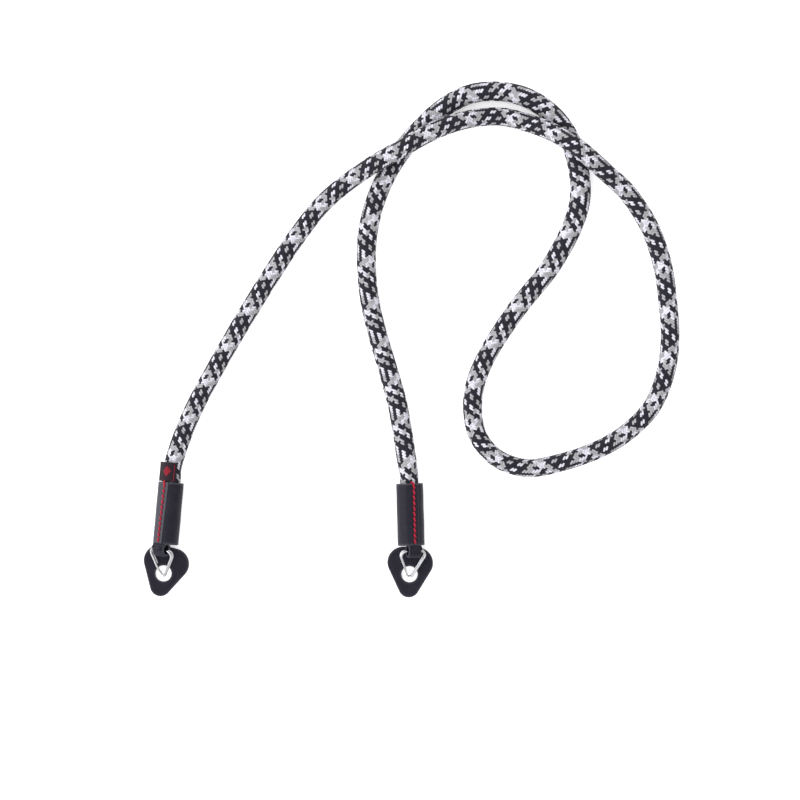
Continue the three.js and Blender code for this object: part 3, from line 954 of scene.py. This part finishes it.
def shieldSkin(side, end):
    outline = corneredOutline(shield["width"], shield["length"], shield["shoulder"], shield["tip"])
    outline = outline + (0, shield["holeDrop"])
    bearing = np.arctan2(outline[:, 1], outline[:, 0])
    distance = np.linalg.norm(outline, axis=1)
    rays = np.linspace(-pi, pi, shield["rays"], endpoint=False)
    order = np.argsort(bearing)
    outer = np.interp(rays, bearing[order], distance[order], period=2 * pi)
    inner = np.full_like(outer, shield["hole"] / 2)
    edge, thick = shield["edge"], shield["thickness"]
    # share of the way from the hole to the outline, inset from either, and height
    rows = [(share, edge, thick) for share in np.linspace(0, 1, shield["rows"])]
    rows += [(1.0, edge * (1 - sin(c)), thick - edge * (1 - cos(c))) for c in quarter[1:]]
    rows += [(1.0, edge * (1 - cos(c)), edge * (1 - sin(c))) for c in quarter]
    rows += [(share, edge, 0.0) for share in np.linspace(1, 0, shield["rows"])[1:]]
    rows += [(0.0, edge * (1 - sin(c)), edge * (1 - cos(c))) for c in quarter[1:]]
    rows += [(0.0, edge * (1 - cos(c)), thick - edge * (1 - sin(c))) for c in quarter[:-1]]
    share, inset, height = np.array(rows).T[:, :, None]
    reach = (1 - share) * (inner + inset) + share * (outer - inset)
    x, y = reach * np.cos(rays), reach * np.sin(rays)
    bow = shield["bow"] * np.sin(x * 310 + 1) * np.sin(y * 260) * (height > thick / 2)
    fromEdge = np.minimum(outer - reach, reach - inner)
    worn = np.exp(-((fromEdge / shield["rubWidth"]) ** 2)) * shield["rub"]
    turn = radians(end["lean"] + end["turn"])
    holeX, holeY = holeMiddle(side)
    east = x * cos(turn) + y * sin(turn) + holeX
    north = y * cos(turn) - x * sin(turn) + holeY
    rings = np.stack([east, north, height + bow], -1)
    return {"rings": rings, "ends": "joined", "marks": {"worn": worn}}


def makeFittings():
    nickelLook = metalFinish()
    for side, end in ends.items():
        meshPiece(f"{side}_ring_wire", [ringSkin(end)], nickelLook, [f"{side}_ring"])
        pad = [shieldSkin(side, end)]
        meshPiece(f"{side}_shield_leather", pad, leatherLook, [f"{side}_shield"])
    print("rings and shields made")


makeFittings()


# Label

label = {
    "length": 0.010,
    "above": 0.0003,  # gap to the sleeve's mouth
    "radius": 0.00555,  # middle of the folded tape
    "layer": 0.00056,  # one thickness of the tape
    "parting": 0.00006,  # between its two layers
    "grip": 21,  # degrees from the top to the stitched edge
    "turn": 52,  # degrees the other way before the tape leaves the rope
    "flap": 0.0027,  # free length beyond that
    "edge": 0.00018,  # rounding of the tape's corners
    "ripple": 0.00007,
    "thread": 0.0003,
    "stitchAt": 0.0009,  # from the stitched edge
    "stitchStart": 0.0007,
    "stitchPitch": 0.00105,
    "stitchShare": 0.7,  # of the pitch that shows as thread
    "bars": (1, 2, 3, 4, 3, 2, 1),  # half widths of the woven figure's rows
    "barUnit": 0.00054,
    "barPitch": 0.0007,
    "figureAt": 0.0045,  # along the tape from its stitched edge
    "figureUp": 0.0004,  # above the middle
    "flecks": 0.0007,
    "tones": ((0.004, 0.003, 0.005), (0.016, 0.007, 0.013)),
    "red": (0.2, 0.008, 0.03),
    "warp": 2600,  # threads in a metre
    "weft": 3400,
}


def tapePlace(run, lift):
    # Point of the tape's section: run along it from the stitched edge, lift out of its middle.
    arc = radians(label["grip"] + label["turn"]) * label["radius"]
    run, lift = np.broadcast_arrays(np.asarray(run, float), np.asarray(lift, float))
    turn = label["grip"] - np.degrees(np.clip(run, None, arc) / label["radius"])
    beyond = np.clip(run - arc, 0, None)[..., None]
    return outward(turn) * (label["radius"] + lift)[..., None] + outward(turn - 90) * beyond


def labelSkin(end):
    total = radians(label["grip"] + label["turn"]) * label["radius"] + label["flap"]
    offset = (label["layer"] + label["parting"]) / 2
    run = np.linspace(0, total - offset, 60)
    turns = np.linspace(0, pi, 9)[1:-1]
    runs = np.concatenate([run, total - offset + offset * np.sin(turns), run[::-1]])
    lifts = np.concatenate([run * 0 + offset, offset * np.cos(turns), run * 0 - offset])
    swell = np.concatenate([run * 0, np.sin(turns), run * 0])
    middle = tapePlace(runs, lifts)
    normal = unit(np.cross(unit(np.gradient(middle, axis=0)), (0.0, 1.0, 0.0)))
    across, height = roundedStrip(label["length"], label["layer"], label["edge"], 25).T
    lift = height[None, :] * (1 - 0.1 * swell[:, None])
    lift += label["ripple"] * np.sin(across * 900)[None, :] * np.sin(runs * 700)[:, None]
    rings = middle[:, None] + normal[:, None] * lift[..., None]
    rings[..., 1] = across[None, :] + label["length"] / 2 + label["above"]
    rings[..., 2] += sleeve["radius"]
    marks = {"run": travelled(middle)[:, None], "across": across[None, :]}
    return {"rings": toWorld(end, rings), "marks": marks}


def tapeThread(end, points, width):
    # A thread on the tape's face: run, distance from the mouth and lift of each of its points.
    run, up, lift = np.array(points, float).T
    top = label["parting"] / 2 + label["layer"]
    path = tapePlace(run, top + lift)
    path[..., 1] = up
    path[..., 2] += sleeve["radius"]
    return [{**skin, "rings": toWorld(end, skin["rings"])} for skin in threadSkins(path, width)]


def labelThreads(end):
    # The stitches beside the tape's edge, and the bars of the woven figure.
    skins = []
    pitch, here = label["stitchPitch"], label["stitchAt"]
    there = here + 0.00005
    for k in range(int((label["length"] - 0.001) / pitch)):
        start = label["above"] + label["stitchStart"] + k * pitch
        stop = start + pitch * label["stitchShare"]
        points = [
            (here, start, -0.0003), (here, start + 0.0001, 0.0001),
            (there, stop - 0.0001, 0.0001), (there, stop, -0.0003),
        ]
        skins += tapeThread(end, points, label["thread"])
    middle = label["above"] + label["length"] / 2 + label["figureUp"]
    shares = np.linspace(-1, 1, 7)
    lifts = [-0.0002] + [0.00006] * 5 + [-0.0002]
    for k, half in enumerate(label["bars"]):
        up = middle + (k - (len(label["bars"]) - 1) / 2) * label["barPitch"]
        runs = label["figureAt"] + half * label["barUnit"] * shares
        points = [(run, up, lift) for run, lift in zip(runs, lifts)]
        skins += tapeThread(end, points, label["barPitch"] * 0.8)
    return skins


def tapeFinish():
    finish = Finish("woven tape", Sheen_Weight=0.05, Specular_IOR_Level=0.2)
    warp = (finish.mark("run") * label["warp"]).wave()
    weft = (finish.mark("across") * label["weft"]).wave()
    weave = warp * weft + (1 - warp) * (1 - weft)
    flecks = finish.noise(label["flecks"], 3.0).within(0.6, 0.75) * weave
    dark = finish.mix(weave, *map(tinted, label["tones"]))
    finish.feed("Base Color", finish.mix(flecks * 0.7, dark, tinted(label["red"])))
    finish.feed("Roughness", weave * 0.15 + 0.75)
    finish.bump(weave, 0.0001, 0.8)
    return finish


def makeLabel():
    end = ends["left"]
    meshPiece("label_tape", [labelSkin(end)], tapeFinish(), ["label"])
    meshPiece("label_threads", labelThreads(end), threadLook)
    print("label made")


makeLabel()


# Floor and light

studio = {
    "floor": 6.0,
    "floorDrop": 0.0001,
    "floorColour": (0.9, 0.9, 0.905),
    "floorGlow": 0.4,  # the surface is lit from below, so that shadows on it stay faint
    "key": {"place": (-0.7, 0.7, 1.3), "size": 1.2, "power": 3.0},
    "fill": {"place": (0.9, -0.4, 1.3), "size": 0.9, "power": 1.5},
    "strength": 1.75,
    # brightness of the surroundings at heights from the horizon to straight above
    "sky": [(0.0, 0.4), (0.3, 0.8), (0.55, 1.0), (0.8, 0.95), (1.0, 0.7)],
    "leftGlow": 1.6,  # how much brighter the far left is
    "rightShade": 0.4,  # how much darker the far right is
}


def makeStudio():
    half = studio["floor"] / 2
    mesh = bpy.data.meshes.new("floor")
    corners = [(-half, -half, 0), (half, -half, 0), (half, half, 0), (-half, half, 0)]
    mesh.from_pydata(corners, [], [(0, 1, 2, 3)])
    finish = Finish(
        "floor",
        Roughness=0.8,
        Specular_IOR_Level=0.2,
        Base_Color=tinted(studio["floorColour"]),
        Emission_Color=tinted(studio["floorColour"]),
        Emission_Strength=studio["floorGlow"],
    )
    mesh.materials.append(finish.material)
    addObject("floor", mesh, (*view["middle"], -studio["floorDrop"]))

    for name in ("key", "fill"):
        lamp = studio[name]
        light = bpy.data.lights.new(name, "AREA")
        light.size = lamp["size"]
        light.energy = lamp["power"]
        aim = np.array([*view["middle"], 0.0]) - np.array(lamp["place"])
        flat = sqrt(aim[0] ** 2 + aim[1] ** 2)
        holder = addObject(name, light, lamp["place"])
        holder.rotation_euler = (atan2(flat, -aim[2]), 0, atan2(-aim[0], aim[1]))

    world = bpy.data.worlds.new("studio")
    world.use_nodes = True
    bpy.context.scene.world = world
    board = Board(world.node_tree)
    spot = {"Vector": board.node("ShaderNodeTexCoord", {}, {}, "Generated")}
    height, east = (board.node("ShaderNodeSeparateXYZ", {}, spot, axis) for axis in "ZX")
    sky = board.node("ShaderNodeValToRGB", {"stops": studio["sky"]}, {0: height})
    left, right = east.within(0.0, -1.0), east.within(0.0, 1.0)
    sideways = left**2 * studio["leftGlow"] - right * studio["rightShade"] + 1
    strength = sideways * studio["strength"]
    background = board.nodes["Background"]
    board.links.new(sky.socket, background.inputs["Color"])
    board.links.new(strength.socket, background.inputs["Strength"])
    bpy.context.scene.view_settings.view_transform = "Standard"
    print("floor and light made")


makeStudio()
